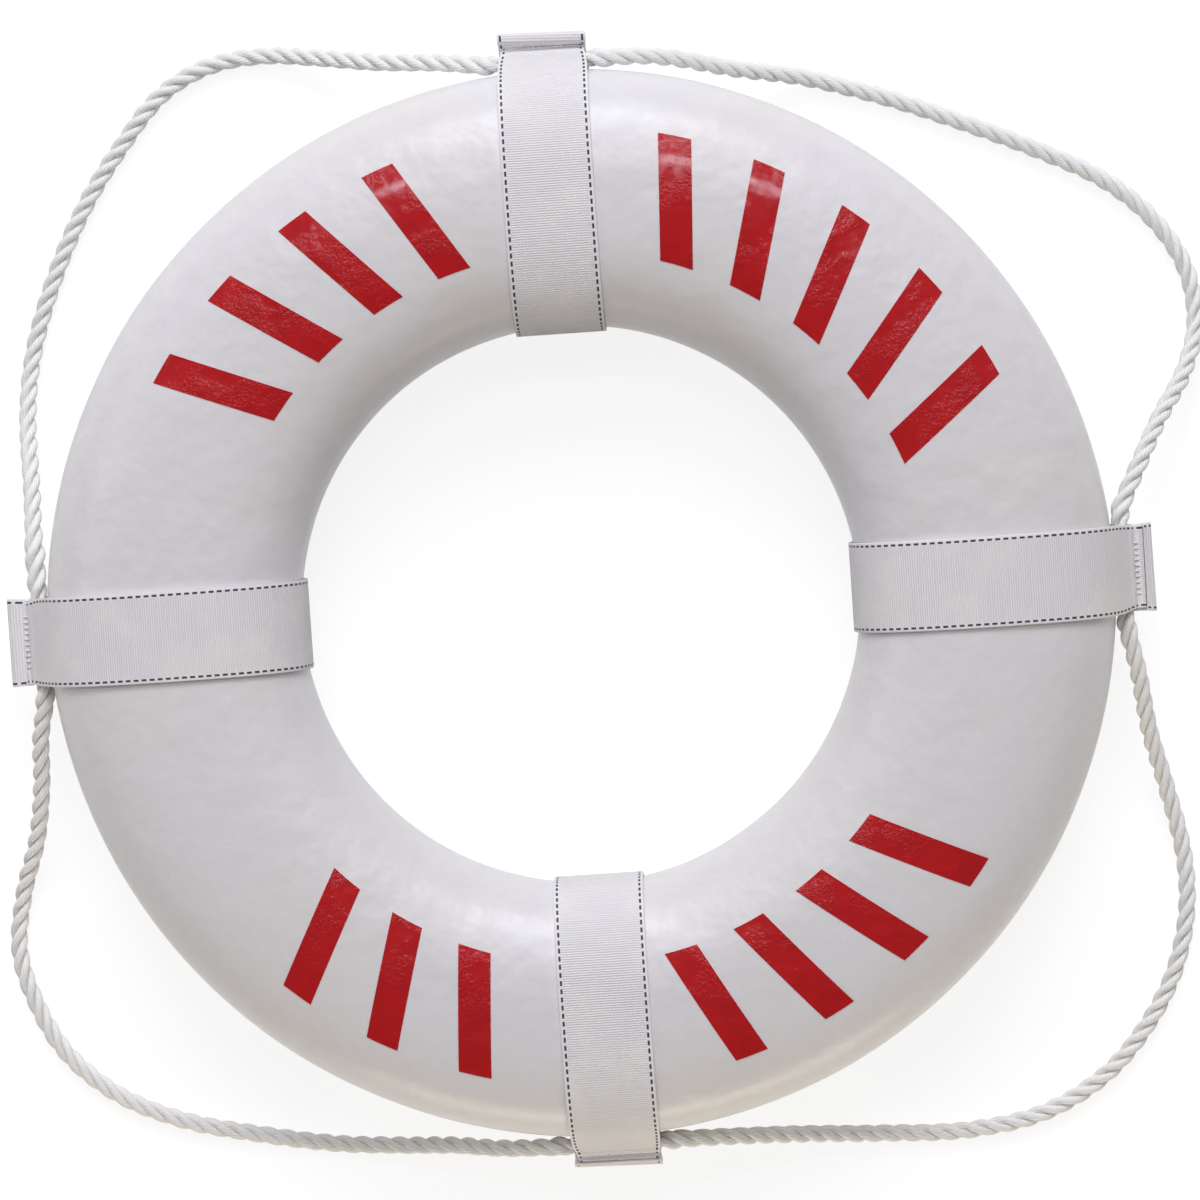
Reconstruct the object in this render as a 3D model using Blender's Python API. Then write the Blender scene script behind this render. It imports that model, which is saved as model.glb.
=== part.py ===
# Life ring: a foam ring in a vinyl cover, four webbing straps and a grab line
#
# The ring lies flat with its axis along Z, and rests on the undersides of its straps at Z = 0.
# The straps lie on the X and Y axes. Each one is folded into a tab outside the ring and holds
# the grab line there, so that four free lengths of the line hang between the straps.
# A section point is (across, up): across runs outwards from the middle of the foam,
# and up runs from mid-thickness.

import math

import bmesh
import bpy
from mathutils import Vector

# Ring, in metres
RING_OUTER_DIAMETER = 0.6096
RING_HOLE_DIAMETER = 0.3190
RING_THICKNESS = 0.1000
SECTION_SQUARENESS = 2.4
COVER_WALL = 0.0015

# Straps
WEBBING_WIDTH = 0.0508
WEBBING_THICKNESS = 0.0018
STRAP_EASE = 0.0006
STRAP_LEAVES_AT = 30.0
TAB_FLAP = 0.0038
TAB_HEM = 0.0085
THREAD_DIAMETER = 0.0009
STITCH_LENGTH = 0.0020
STITCH_PITCH = 0.0032
STITCH_COUNT = 10
STITCH_SETBACK = 0.0020

# Grab line
ROPE_DIAMETER = 0.0095
ROPE_SLACK = 0.0004
ROPE_MOUTH = 0.0060

# Vinyl marks on the upper face
MARK_OFFSET = 0.00285
MARK_LENGTH = 0.0695
MARK_WIDTH = 0.0190
MARK_SLANT = 0.0180
MARK_THICKNESS = 0.0005
MARK_LIFT = 0.0005
MARK_PITCH = 11.8

# Fits and mesh steps
CLEARANCE = 0.0003
CROWN_FLAT = 0.0120
SECTION_STEP = 15.0
RING_STEPS = 56
ROPE_STEPS = 17
ROPE_SIDES_LEVEL = 2
THREAD_SIDES_LEVEL = 1
WELD_DISTANCE = 0.00001
SMOOTH_ANGLE = 40.0

# Sizes that follow
OUTER_RADIUS = RING_OUTER_DIAMETER / 2
HOLE_RADIUS = RING_HOLE_DIAMETER / 2
MID_RADIUS = (OUTER_RADIUS + HOLE_RADIUS) / 2
HALF_WIDTH = (OUTER_RADIUS - HOLE_RADIUS) / 2
HALF_THICKNESS = RING_THICKNESS / 2
HALF_LAYER = WEBBING_THICKNESS / 2
ROPE_RADIUS = ROPE_DIAMETER / 2
MID_HEIGHT = HALF_THICKNESS + STRAP_EASE + WEBBING_THICKNESS
TAB_HALF = HALF_LAYER + CLEARANCE / 2
ROPE_SEAT = OUTER_RADIUS + ROPE_SLACK + ROPE_RADIUS
ROPE_WRAP = ROPE_RADIUS + CLEARANCE + HALF_LAYER
TAB_START = ROPE_SEAT + math.sqrt(ROPE_WRAP ** 2 - TAB_HALF ** 2)
CREASE_RADIUS = TAB_START + TAB_FLAP
TAB_END = CREASE_RADIUS + TAB_HEM
PIVOT_OFFSET = WEBBING_WIDTH / 2 + ROPE_MOUTH
MARK_RADIUS = MID_RADIUS + MARK_OFFSET

# Names of the straps with the direction of each from the ring's centre, in degrees
STRAPS = (("right", 0.0), ("top", 90.0), ("left", 180.0), ("bottom", 270.0))

# Arcs of marks: name, middle of the arc in degrees, number of marks
MARK_ARCS = (
    ("upper_left", 126.5, 4),
    ("upper_right", 49.0, 5),
    ("lower_left", 240.0, 3),
    ("lower_right", 303.25, 4),
)

# Free lengths of the grab line, clockwise from one strap to the next: name, direction of the strap
# that each leaves and of the one that it reaches, and the points that it passes between them.
# It drops from mid-thickness to the floor, which it follows in one wide bulge.
BIGHTS = (
    ("upper_left", 180.0, 90.0, (
        (-0.3107, 0.0565, 0.0480), (-0.3116, 0.0875, 0.0360), (-0.3139, 0.1301, 0.0160),
        (-0.3096, 0.1649, 0.0065), (-0.2966, 0.2027, 0.0053), (-0.2759, 0.2446, 0.0053),
        (-0.2516, 0.2795, 0.0053), (-0.2232, 0.3108, 0.0053), (-0.1942, 0.3249, 0.0053),
        (-0.1626, 0.3282, 0.0065), (-0.1300, 0.3240, 0.0150), (-0.0959, 0.3180, 0.0300),
        (-0.0609, 0.3142, 0.0440))),
    ("upper_right", 90.0, 0.0, (
        (0.0646, 0.3092, 0.0430), (0.1090, 0.3003, 0.0240), (0.1484, 0.2935, 0.0095),
        (0.1915, 0.2803, 0.0053), (0.2347, 0.2632, 0.0053), (0.2787, 0.2436, 0.0053),
        (0.3181, 0.2223, 0.0053), (0.3459, 0.1960, 0.0053), (0.3614, 0.1672, 0.0056),
        (0.3639, 0.1369, 0.0095), (0.3543, 0.1094, 0.0220), (0.3372, 0.0840, 0.0365),
        (0.3236, 0.0600, 0.0475))),
    ("lower_right", 0.0, 270.0, (
        (0.3156, -0.0592, 0.0435), (0.3214, -0.0953, 0.0275), (0.3304, -0.1295, 0.0130),
        (0.3387, -0.1696, 0.0053), (0.3384, -0.2030, 0.0053), (0.3290, -0.2378, 0.0053),
        (0.3106, -0.2693, 0.0053), (0.2852, -0.2959, 0.0053), (0.2489, -0.3155, 0.0053),
        (0.2037, -0.3232, 0.0053), (0.1545, -0.3215, 0.0090), (0.1052, -0.3160, 0.0260),
        (0.0652, -0.3119, 0.0435))),
    ("lower_left", 270.0, 180.0, (
        (-0.0659, -0.3109, 0.0410), (-0.0955, -0.3093, 0.0285), (-0.1264, -0.3096, 0.0155),
        (-0.1658, -0.3076, 0.0065), (-0.2098, -0.2996, 0.0053), (-0.2545, -0.2884, 0.0053),
        (-0.2918, -0.2708, 0.0053), (-0.3203, -0.2444, 0.0053), (-0.3361, -0.2137, 0.0053),
        (-0.3435, -0.1822, 0.0053), (-0.3382, -0.1486, 0.0070), (-0.3261, -0.1155, 0.0190),
        (-0.3192, -0.0840, 0.0320), (-0.3156, -0.0552, 0.0445))),
)

# Finishes: colour, roughness, metallic
FINISHES = {
    "white_vinyl": ((0.80, 0.79, 0.80, 1.0), 0.42, 0.0),
    "foam": ((0.86, 0.82, 0.70, 1.0), 0.90, 0.0),
    "white_webbing": ((0.78, 0.77, 0.82, 1.0), 0.75, 0.0),
    "white_thread": ((0.86, 0.86, 0.86, 1.0), 0.60, 0.0),
    "white_rope": ((0.80, 0.82, 0.80, 1.0), 0.65, 0.0),
    "red_vinyl": ((0.50, 0.01, 0.02, 1.0), 0.22, 0.0),
}


def clear_scene():
    """Remove every object of the scene that is open."""
    for old in list(bpy.data.objects):
        bpy.data.objects.remove(old)


def finish_material(name):
    """The named finish as a Principled BSDF."""
    found = bpy.data.materials.get(name)
    if found:
        return found
    colour, roughness, metallic = FINISHES[name]
    made = bpy.data.materials.new(name)
    made.use_nodes = True
    shader = made.node_tree.nodes["Principled BSDF"]
    shader.inputs["Base Color"].default_value = colour
    shader.inputs["Roughness"].default_value = roughness
    shader.inputs["Metallic"].default_value = metallic
    return made


def place(name, data, finish, smooth=True):
    """Put a mesh or a curve in the scene under its name, with its finish."""
    if smooth:
        data.shade_smooth()
        data.set_sharp_from_angle(angle=math.radians(SMOOTH_ANGLE))
    if not data.materials:
        data.materials.append(finish_material(finish))
    made = bpy.data.objects.new(name, data)
    bpy.context.scene.collection.objects.link(made)
    return made


def to_mesh(shape, name):
    """Turn finished mesh-editing data into a mesh."""
    mesh = bpy.data.meshes.new(name)
    shape.to_mesh(mesh)
    shape.free()
    return mesh


def section_point(half_width, half_height, degrees):
    """Point of the ring's rounded section at an angle."""
    power = 2.0 / SECTION_SQUARENESS
    cosine = math.cos(math.radians(degrees))
    sine = math.sin(math.radians(degrees))
    across = math.copysign(abs(cosine) ** power, cosine) * half_width
    up = math.copysign(abs(sine) ** power, sine) * half_height
    return across, up


def section_arc(half_width, half_height, first, last):
    """Points round the section between two angles, with a level flat at its top and bottom."""
    points = []
    for step in range(round((last - first) / SECTION_STEP) + 1):
        degrees = first + step * SECTION_STEP
        if degrees % 180.0 == 90.0:
            side = 1.0 if degrees == 90.0 else -1.0
            across = side * CROWN_FLAT / 2
            points.append((across, side * half_height))
            points.append((-across, side * half_height))
        else:
            points.append(section_point(half_width, half_height, degrees))
    return points


def half_section(inset):
    """Upper half of the section, set in from the outside, and kept clear of mid-thickness."""
    arc = section_arc(HALF_WIDTH - inset, HALF_THICKNESS - inset, 0.0, 180.0)
    return [(across, max(up, CLEARANCE / 2)) for across, up in arc]


def ring_piece(name, profile, side, finish):
    """Turn a closed profile round the ring's axis; side is 1 above mid-thickness, -1 below."""
    shape = bmesh.new()
    corners = [shape.verts.new((MID_RADIUS + across, 0.0, side * up)) for across, up in profile]
    edges = [shape.edges.new(pair) for pair in zip(corners, corners[1:] + corners[:1])]
    bmesh.ops.spin(
        shape, geom=corners + edges, cent=(0.0, 0.0, 0.0), axis=(0.0, 0.0, 1.0),
        angle=math.tau, steps=RING_STEPS, use_merge=True)
    bmesh.ops.remove_doubles(shape, verts=shape.verts, dist=WELD_DISTANCE)
    bmesh.ops.recalc_face_normals(shape, faces=shape.faces)
    made = place(name, to_mesh(shape, name), finish)
    made.location.z = MID_HEIGHT
    return made


def make_foam():
    """Two slabs of foam, laminated at mid-thickness."""
    profile = half_section(COVER_WALL + CLEARANCE)
    ring_piece("foam_core_upper", profile, 1.0, "foam")
    ring_piece("foam_core_lower", profile, -1.0, "foam")


def make_cover():
    """The vinyl skin, as one shell above mid-thickness and one below."""
    profile = half_section(0.0) + half_section(COVER_WALL)[::-1]
    ring_piece("cover_upper", profile, 1.0, "white_vinyl")
    ring_piece("cover_lower", profile, -1.0, "white_vinyl")


def strap_loop():
    """Middle of the webbing where it lies on the ring, from its upper to its lower outer side."""
    ease = STRAP_EASE + HALF_LAYER
    outward = HALF_WIDTH + ease
    # Flat webbing bridges the curved wall of the hole: its edges touch before its middle does
    wall = HOLE_RADIUS * math.cos(math.pi / RING_STEPS)
    bridge = math.sqrt(wall ** 2 - (WEBBING_WIDTH / 2) ** 2)
    inward = MID_RADIUS - bridge + ease
    arc = section_arc(outward, HALF_THICKNESS + ease, STRAP_LEAVES_AT, 360.0 - STRAP_LEAVES_AT)
    return [(across if across > 0 else across * inward / outward, up) for across, up in arc]


def strap_path():
    """Middle of a strap's webbing from the hem's end, round the fold and the ring, to the flap's end."""
    seat = ROPE_SEAT - MID_RADIUS
    fold = TAB_END - MID_RADIUS - HALF_LAYER - TAB_HALF
    crease = CREASE_RADIUS - MID_RADIUS
    tab_start = TAB_START - MID_RADIUS
    hem = [(crease + CLEARANCE, TAB_HALF), (fold, TAB_HALF)]
    for degrees in (60.0, 0.0, -60.0):
        turn = math.radians(degrees)
        hem.append((fold + TAB_HALF * math.cos(turn), TAB_HALF * math.sin(turn)))
    hem.append((fold, -TAB_HALF))
    over_rope = []
    for degrees in (36.0, 22.0):
        turn = math.radians(degrees)
        over_rope.append((seat + ROPE_WRAP * math.cos(turn), ROPE_WRAP * math.sin(turn)))
    over_rope.append((tab_start, TAB_HALF))
    under_rope = [(across, -up) for across, up in reversed(over_rope)]
    flap = [(crease - CLEARANCE, TAB_HALF)]
    return hem + under_rope + strap_loop()[::-1] + over_rope + flap


def strap_mesh():
    """Webbing of one strap, on the X axis, as a sheet that is given its thickness."""
    shape = bmesh.new()
    near = -WEBBING_WIDTH / 2
    corners = [shape.verts.new((MID_RADIUS + across, near, up)) for across, up in strap_path()]
    edges = [shape.edges.new(pair) for pair in zip(corners, corners[1:])]
    grown = bmesh.ops.extrude_edge_only(shape, edges=edges)["geom"]
    far = [part for part in grown if isinstance(part, bmesh.types.BMVert)]
    bmesh.ops.translate(shape, verts=far, vec=(0.0, WEBBING_WIDTH, 0.0))
    return to_mesh(shape, "strap")


def thicken(made, thickness, offset):
    """Give a sheet its thickness."""
    wall = made.modifiers.new("thickness", "SOLIDIFY")
    wall.thickness = thickness
    wall.offset = offset
    wall.use_even_offset = True


def tube(name, points, radius, sides_level, swellings=None):
    """A round strand with closed ends; each swelling is a share of its own radius there."""
    data = bpy.data.curves.new(name, "CURVE")
    data.dimensions = "3D"
    data.bevel_depth = radius
    data.bevel_resolution = sides_level
    data.use_fill_caps = True
    spline = data.splines.new("POLY")
    spline.points.add(len(points) - 1)
    for step, (point, seat) in enumerate(zip(spline.points, points)):
        point.co = (*seat, 1.0)
        point.radius = swellings[step] if swellings else 1.0
    return data


def stitch_curve(name, side):
    """One face of a tab's seam: a zigzag of thread across the webbing, on the X axis."""
    rise = side * (TAB_HALF + HALF_LAYER + CLEARANCE + THREAD_DIAMETER / 2)
    points = []
    for turn in range(2 * STITCH_COUNT):
        along = (turn / 2 - STITCH_COUNT / 2 + 0.25) * STITCH_PITCH
        across = TAB_START + STITCH_SETBACK + (turn % 2 - 0.5) * STITCH_LENGTH
        points.append((across, along, rise))
    return tube(name, points, THREAD_DIAMETER / 2, THREAD_SIDES_LEVEL)


def make_straps():
    """Each strap with its stitching and the rope that it holds, turned to its side of the ring."""
    webbing = strap_mesh()
    upper = stitch_curve("stitching_upper", 1.0)
    lower = stitch_curve("stitching_lower", -1.0)
    half = PIVOT_OFFSET - ROPE_RADIUS - CLEARANCE
    ends = [(ROPE_SEAT, -half, 0.0), (ROPE_SEAT, half, 0.0)]
    rope = tube("held_rope", ends, ROPE_RADIUS, ROPE_SIDES_LEVEL)
    for side, degrees in STRAPS:
        seat = bpy.data.objects.new("seat_" + side, None)
        seat.location.z = MID_HEIGHT
        seat.rotation_euler.z = math.radians(degrees)
        bpy.context.scene.collection.objects.link(seat)
        strap = place("strap_" + side, webbing, "white_webbing")
        thicken(strap, WEBBING_THICKNESS, 0.0)
        over = place("stitching_upper_" + side, upper, "white_thread", smooth=False)
        under = place("stitching_lower_" + side, lower, "white_thread", smooth=False)
        held = place("grab_line_in_strap_" + side, rope, "white_rope", smooth=False)
        for piece in (strap, over, under, held):
            piece.parent = seat


def pivot(leaves, towards):
    """Where a free length of the grab line starts to bend, beside the strap that it leaves."""
    out = math.radians(leaves)
    along = math.radians(towards)
    return Vector((
        ROPE_SEAT * math.cos(out) + PIVOT_OFFSET * math.cos(along),
        ROPE_SEAT * math.sin(out) + PIVOT_OFFSET * math.sin(along),
        MID_HEIGHT))


def smooth_route(route):
    """Evenly spaced points, none below the floor, on a smooth curve through the route's own points."""
    ends = [2 * route[0] - route[1]] + route + [2 * route[-1] - route[-2]]
    fine = []
    for before, start, stop, after in zip(ends, ends[1:], ends[2:], ends[3:]):
        for step in range(8):
            t = step / 8
            pull = start * 2 + (stop - before) * t
            pull += (before * 2 - start * 5 + stop * 4 - after) * t ** 2
            pull += (start * 3 - before - stop * 3 + after) * t ** 3
            fine.append(pull / 2)
    fine.append(route[-1])
    reach = [0.0]
    for start, stop in zip(fine, fine[1:]):
        reach.append(reach[-1] + (stop - start).length)
    even = []
    span = 0
    for step in range(ROPE_STEPS + 1):
        goal = reach[-1] * step / ROPE_STEPS
        while span < len(fine) - 2 and reach[span + 1] < goal:
            span += 1
        share = (goal - reach[span]) / (reach[span + 1] - reach[span])
        point = fine[span].lerp(fine[span + 1], share)
        point.z = max(point.z, ROPE_RADIUS + CLEARANCE)
        even.append(point)
    return even


def make_bights():
    """The grab line's free lengths; each turns about the line between its two pivots."""
    for name, leaves, reaches, route in BIGHTS:
        start = pivot(leaves, reaches)
        stop = pivot(reaches, leaves)
        centre = (start + stop) / 2
        line = smooth_route([start] + [Vector(point) for point in route] + [stop])
        # Round ends about the pivots let the line turn without touching the rope in the strap
        first = (line[0] - line[1]).normalized()
        last = (line[-1] - line[-2]).normalized()
        slopes = [math.radians(degrees) for degrees in (70.0, 42.0)]
        nose = [line[0] + first * ROPE_RADIUS * math.sin(slope) for slope in slopes]
        tail = [line[-1] + last * ROPE_RADIUS * math.sin(slope) for slope in reversed(slopes)]
        swellings = [math.cos(slope) for slope in slopes]
        points = [point - centre for point in nose + line + tail]
        radii = swellings + [1.0] * len(line) + swellings[::-1]
        full_name = "grab_line_" + name
        rope = tube(full_name, points, ROPE_RADIUS, ROPE_SIDES_LEVEL, radii)
        bight = place(full_name, rope, "white_rope", smooth=False)
        bight.location = centre


def upper_profile(first, last):
    """The cover's upper outline between two places across the section, with each of its corners."""
    arc = section_arc(HALF_WIDTH, HALF_THICKNESS, 0.0, 180.0)[::-1]
    outline = []
    for (inner, inner_up), (outer, outer_up) in zip(arc, arc[1:]):
        for place_across in (first, last):
            if inner <= place_across < outer:
                share = (place_across - inner) / (outer - inner)
                outline.append((place_across, inner_up + (outer_up - inner_up) * share))
        if first < outer < last:
            outline.append((outer, outer_up))
    return sorted(outline)


def mark_mesh():
    """One slanted mark laid on the ring's upper surface at the X axis, as a sheet that faces up."""
    shape = bmesh.new()
    start = MARK_RADIUS - MID_RADIUS - MARK_LENGTH / 2
    rows = []
    for across, up in upper_profile(start, start + MARK_LENGTH):
        share = (across - start) / MARK_LENGTH - 0.5
        radius = MID_RADIUS + across
        row = []
        for side in (-0.5, 0.5):
            turn = (side * MARK_WIDTH + share * MARK_SLANT) / radius
            spot = (radius * math.cos(turn), radius * math.sin(turn), up + MARK_LIFT)
            row.append(shape.verts.new(spot))
        rows.append(row)
    for inner, outer in zip(rows, rows[1:]):
        shape.faces.new((inner[0], outer[0], outer[1], inner[1]))
    return to_mesh(shape, "mark")


def make_marks():
    """Four arcs of plain slanted bars of red film on the upper face."""
    film = mark_mesh()
    for name, centre, count in MARK_ARCS:
        for step in range(count):
            turn = centre + (step - (count - 1) / 2) * MARK_PITCH
            mark = place(f"mark_{name}_{step + 1}", film, "red_vinyl")
            thicken(mark, MARK_THICKNESS, 1.0)
            mark.location.z = MID_HEIGHT
            mark.rotation_euler.z = math.radians(turn)


def main():
    clear_scene()
    make_foam()
    make_cover()
    make_straps()
    make_bights()
    make_marks()


main()
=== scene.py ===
import math

import bmesh
import bpy
from bpy.props import FloatProperty, FloatVectorProperty, PointerProperty
from bpy.types import Operator, Panel, PropertyGroup
from mathutils import Matrix, Vector, noise


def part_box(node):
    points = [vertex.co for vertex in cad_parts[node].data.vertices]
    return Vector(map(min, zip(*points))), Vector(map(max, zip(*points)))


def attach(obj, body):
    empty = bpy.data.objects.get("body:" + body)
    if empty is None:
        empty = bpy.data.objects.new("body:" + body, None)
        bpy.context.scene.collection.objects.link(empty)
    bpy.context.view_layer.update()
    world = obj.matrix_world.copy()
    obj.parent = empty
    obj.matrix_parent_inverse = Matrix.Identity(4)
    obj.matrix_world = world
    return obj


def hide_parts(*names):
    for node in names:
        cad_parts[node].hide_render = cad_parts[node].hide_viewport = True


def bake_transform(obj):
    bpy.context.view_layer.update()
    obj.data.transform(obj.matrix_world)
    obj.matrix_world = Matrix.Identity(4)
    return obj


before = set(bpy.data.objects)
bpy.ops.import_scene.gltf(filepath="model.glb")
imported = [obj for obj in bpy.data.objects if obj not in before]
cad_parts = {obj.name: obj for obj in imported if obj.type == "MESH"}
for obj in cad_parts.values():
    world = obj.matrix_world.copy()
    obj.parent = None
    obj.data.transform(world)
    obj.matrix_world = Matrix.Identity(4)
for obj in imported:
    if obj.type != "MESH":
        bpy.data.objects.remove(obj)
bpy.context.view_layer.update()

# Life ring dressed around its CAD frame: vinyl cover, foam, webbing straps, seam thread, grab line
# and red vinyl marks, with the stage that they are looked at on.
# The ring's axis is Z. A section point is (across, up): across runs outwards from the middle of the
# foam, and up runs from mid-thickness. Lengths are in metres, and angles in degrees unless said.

bl_info = {
    "name": "Life Ring",
    "version": (1, 0, 0),
    "blender": (4, 5, 0),
    "location": "View3D > Sidebar > Life Ring",
    "description": "Builds a vinyl-covered life ring with webbing straps and a laid grab line",
    "category": "Object",
}

COVER_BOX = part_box("cover_upper")
STRAP_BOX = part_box("strap_top")

# Name and direction of each strap
STRAPS = (("right", 0.0), ("top", 90.0), ("left", 180.0), ("bottom", 270.0))
# Name of each arc of marks, direction of its middle, and number of marks
MARK_ARCS = (
    ("upper_left", 126.5, 4),
    ("upper_right", 49.0, 5),
    ("lower_left", 240.0, 3),
    ("lower_right", 303.25, 4),
)
MARK_STEP_DEGREES = 11.8

# Name, strap that the line leaves, strap that it reaches, and the points that it passes
BIGHTS = (
    ("upper_left", "left", "top", (
        (-0.3107, 0.0565, 0.0480), (-0.3116, 0.0875, 0.0360), (-0.3139, 0.1301, 0.0160),
        (-0.3096, 0.1649, 0.0065), (-0.2966, 0.2027, 0.0053), (-0.2759, 0.2446, 0.0053),
        (-0.2516, 0.2795, 0.0053), (-0.2232, 0.3108, 0.0053), (-0.1942, 0.3249, 0.0053),
        (-0.1626, 0.3282, 0.0065), (-0.1300, 0.3240, 0.0150), (-0.0959, 0.3180, 0.0300),
        (-0.0609, 0.3142, 0.0440))),
    ("upper_right", "top", "right", (
        (0.0646, 0.3092, 0.0430), (0.1090, 0.3003, 0.0240), (0.1484, 0.2935, 0.0095),
        (0.1915, 0.2803, 0.0053), (0.2347, 0.2632, 0.0053), (0.2787, 0.2436, 0.0053),
        (0.3181, 0.2223, 0.0053), (0.3459, 0.1960, 0.0053), (0.3614, 0.1672, 0.0056),
        (0.3639, 0.1369, 0.0095), (0.3543, 0.1094, 0.0220), (0.3372, 0.0840, 0.0365),
        (0.3236, 0.0600, 0.0475))),
    ("lower_right", "right", "bottom", (
        (0.3156, -0.0592, 0.0435), (0.3214, -0.0953, 0.0275), (0.3304, -0.1295, 0.0130),
        (0.3387, -0.1696, 0.0053), (0.3384, -0.2030, 0.0053), (0.3290, -0.2378, 0.0053),
        (0.3106, -0.2693, 0.0053), (0.2852, -0.2959, 0.0053), (0.2489, -0.3155, 0.0053),
        (0.2037, -0.3232, 0.0053), (0.1545, -0.3215, 0.0090), (0.1052, -0.3160, 0.0260),
        (0.0652, -0.3119, 0.0435))),
    ("lower_left", "bottom", "left", (
        (-0.0659, -0.3109, 0.0410), (-0.0955, -0.3093, 0.0285), (-0.1264, -0.3096, 0.0155),
        (-0.1658, -0.3076, 0.0065), (-0.2098, -0.2996, 0.0053), (-0.2545, -0.2884, 0.0053),
        (-0.2918, -0.2708, 0.0053), (-0.3203, -0.2444, 0.0053), (-0.3361, -0.2137, 0.0053),
        (-0.3435, -0.1822, 0.0053), (-0.3382, -0.1486, 0.0070), (-0.3261, -0.1155, 0.0190),
        (-0.3192, -0.0840, 0.0320), (-0.3156, -0.0552, 0.0445))),
)
MOUTH = 0.0060               # webbing's edge to the pivot of a free length
SEAT_GAP = 0.0004            # cover's outside to the rope
FLOOR_GAP = 0.0003           # least height of the rope's underside

# Tabs: for each strap, how far the groove beside the hem moves outwards at the near and far edge of
# the webbing, how full the hem's roll is, how far the seam draws in each edge, and how many degrees
# the hem is turned up (or, below zero, down) at each edge
TAB_LOOKS = {
    "right": ((0.0022, 0.0026), 0.6, (0.0026, 0.0008), (-18.0, -26.0)),
    "top": ((0.0004, -0.0016), 1.5, (0.0019, 0.0019), (56.0, 34.0)),
    "left": ((-0.0018, -0.0004), 1.0, (0.0025, 0.0010), (0.0, 6.0)),
    "bottom": ((0.0000, 0.0004), 0.5, (0.0027, 0.0010), (-72.0, -60.0)),
}
STRAP_LEAVES_AT = 30.0       # angle on the section where the webbing leaves the ring
ROPE_HOLD = 0.0003           # webbing to rope
FLAP_LENGTH = 0.0038
HEM_LENGTH = 0.0085
HEM_ROLL = 0.0004            # growth of the fold's radius at a fullness of 1
HEM_RISE = 0.0008            # rise of the hem's upper layer at a fullness of 1
HINGE_SETBACK = 0.0034       # tab's start to the line that its hem turns about
HINGE_BEND = 0.0030          # distance over which the turn grows to its full angle
SHIFT_SETBACK = 0.0030       # tab's start to where the groove's shift begins
SHIFT_REACH = 0.0030         # distance from the groove over which its shift dies away
PINCH_REACH = 0.0075         # distance from the seam over which its pinch dies away
UNDER_PINCH = 0.35           # share of the pinch in the hem and the lower layer
RIPPLE = 0.00012             # greatest unevenness of the webbing
WEBBING_EDGE = 0.00045       # rounding of the webbing's edges
STITCHES = 10
STITCH_STEP = 0.0032
STITCH_SETBACK = 0.0020
STITCH_SUNK = 0.0001         # depth of a stitch's ends in the webbing
STITCH_DRIFT = 0.00018       # greatest shift of a stitch off its row
STITCH_SKEW = 8.0            # greatest turn of a stitch
STITCH_FLATNESS = 0.42       # height of a stitch against half its length

# Mesh steps
SECTION_STEPS = 96
RING_STEPS = 288
ROPE_STEP = 0.0011
ROPE_LOBE_POINTS = 14
STRAP_COLUMNS = 22
LOOP_STEP = 5.0              # degrees between a strap's points round the section
TAB_PART = 0.034             # length of each end of the webbing that has close rows
TAB_ROW = 0.0006
STRAP_ROW = 0.0020
MARK_ROWS = 30
MARK_COLUMNS = 9
STITCH_STEPS = 24
THREAD_SIDES = 10
EDGE_ANGLE = 60.0            # sharper edges than this are rounded

# Surface unevenness of the cover over its foam
SWELL_HEIGHT = 0.00030
SWELL_SIZE = 0.085


class LifeRingSizes(PropertyGroup):
    """Sizes of the ring, its straps, its grab line and its marks."""

    outer_diameter: FloatProperty(
        name="Outer diameter", description="Across the outside of the cover",
        default=COVER_BOX[1][0] - COVER_BOX[0][0], unit="LENGTH")
    hole_diameter: FloatProperty(
        name="Hole diameter", description="Across the hole in the ring", default=0.3190,
        unit="LENGTH")
    thickness: FloatProperty(
        name="Thickness", description="Of the ring, from face to face", default=0.1000,
        unit="LENGTH")
    squareness: FloatProperty(
        name="Squareness", description="Power of the section's outline; 2 is an ellipse",
        default=2.4)
    cover_wall: FloatProperty(
        name="Cover wall", description="Thickness of the vinyl skin", default=0.0015,
        unit="LENGTH")
    webbing_width: FloatProperty(
        name="Webbing width", description="Of each strap",
        default=STRAP_BOX[1][0] - STRAP_BOX[0][0], unit="LENGTH")
    webbing_thickness: FloatProperty(
        name="Webbing thickness", description="Of each strap", default=0.0018, unit="LENGTH")
    strap_ease: FloatProperty(
        name="Strap ease", description="Between the cover and the webbing", default=0.0006,
        unit="LENGTH")
    rope_diameter: FloatProperty(
        name="Rope diameter", description="Across the crests of the grab line's strands",
        default=0.0095, unit="LENGTH")
    rope_lay: FloatProperty(
        name="Rope lay", description="Length in which a strand goes once round the rope",
        default=0.0340, unit="LENGTH")
    thread_diameter: FloatProperty(
        name="Thread diameter", description="Of the seams in the tabs", default=0.0009,
        unit="LENGTH")
    stitch_length: FloatProperty(
        name="Stitch length", description="Of the seams in the tabs", default=0.0020,
        unit="LENGTH")
    mark_radius: FloatProperty(
        name="Mark radius", description="From the ring's axis to the middle of a mark",
        default=0.2350, unit="LENGTH")
    mark_length: FloatProperty(
        name="Mark length", description="Of a mark, across the ring", default=0.0695,
        unit="LENGTH")
    mark_width: FloatProperty(
        name="Mark width", description="Of a mark, round the ring", default=0.0190,
        unit="LENGTH")
    mark_slant: FloatProperty(
        name="Mark slant", description="Shift between a mark's two ends", default=0.0180,
        unit="LENGTH")
    mark_thickness: FloatProperty(
        name="Mark thickness", description="Of the adhesive film", default=0.0003,
        unit="LENGTH")


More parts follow.
